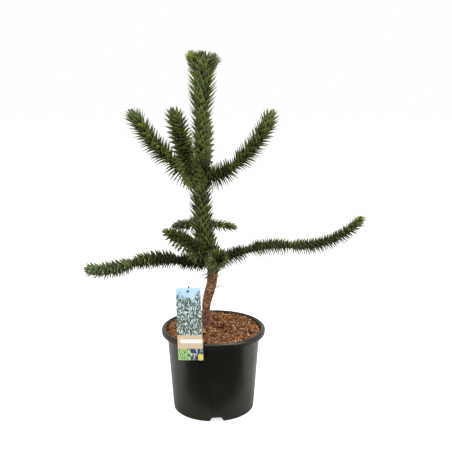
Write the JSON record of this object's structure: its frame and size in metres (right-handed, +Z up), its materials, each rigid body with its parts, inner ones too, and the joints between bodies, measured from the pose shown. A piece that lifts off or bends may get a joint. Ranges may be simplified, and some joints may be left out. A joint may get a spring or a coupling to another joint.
{
  "type": "potted monkey puzzle tree",
  "caption": "Young monkey puzzle tree with scaly upswept branches in whorls round a straight leader, growing in a round black nursery pot with a hanging care label.",
  "frame": {"origin": "centre of the pot's flat underside", "axes": "+Z up along the pot's axis, -Y the front that faces the camera, +X to the camera's right"},
  "size_m": [0.8465, 0.4345, 1.106],
  "materials": {
    "black_plastic": "semi-gloss",
    "bark_soil": "rough, crumbly",
    "flaky_bark": "rough, flaking",
    "green_stem": "matte",
    "old_leaf": "leathery, dark",
    "green_leaf": "leathery",
    "young_leaf": "leathery, bright",
    "dry_leaf": "dry",
    "label_print": "satin print",
    "holder_plastic": "matte"
  },
  "bodies": {
    "root": {"bough_lower_front_left": "green_stem", "bough_lower_front_right": "green_stem", "bough_lower_left": "green_stem", "bough_lower_rear": "green_stem", "bough_lower_right": "green_stem", "bough_upper_front": "green_stem", "bough_upper_left": "green_stem", "bough_upper_rear": "green_stem", "bough_upper_right": "green_stem", "label_card": "label_print", "label_holder": "holder_plastic", "leader_lower": "green_leaf", "leader_middle": "green_leaf", "leader_upper": "green_leaf", "lower_front_left": "green_leaf", "lower_front_right": "green_leaf", "lower_left": "old_leaf", "lower_rear": "green_leaf", "lower_right": "green_leaf", "nursery_pot": "black_plastic", "potting_soil": "bark_soil", "top_centre": "young_leaf", "top_dry": "dry_leaf", "top_left": "young_leaf", "top_rear": "green_leaf", "top_right": "green_leaf", "trunk": "flaky_bark", "upper_front": "green_leaf", "upper_left": "green_leaf", "upper_rear": "green_leaf", "upper_right": "green_leaf"}
  },
  "joints": []
}
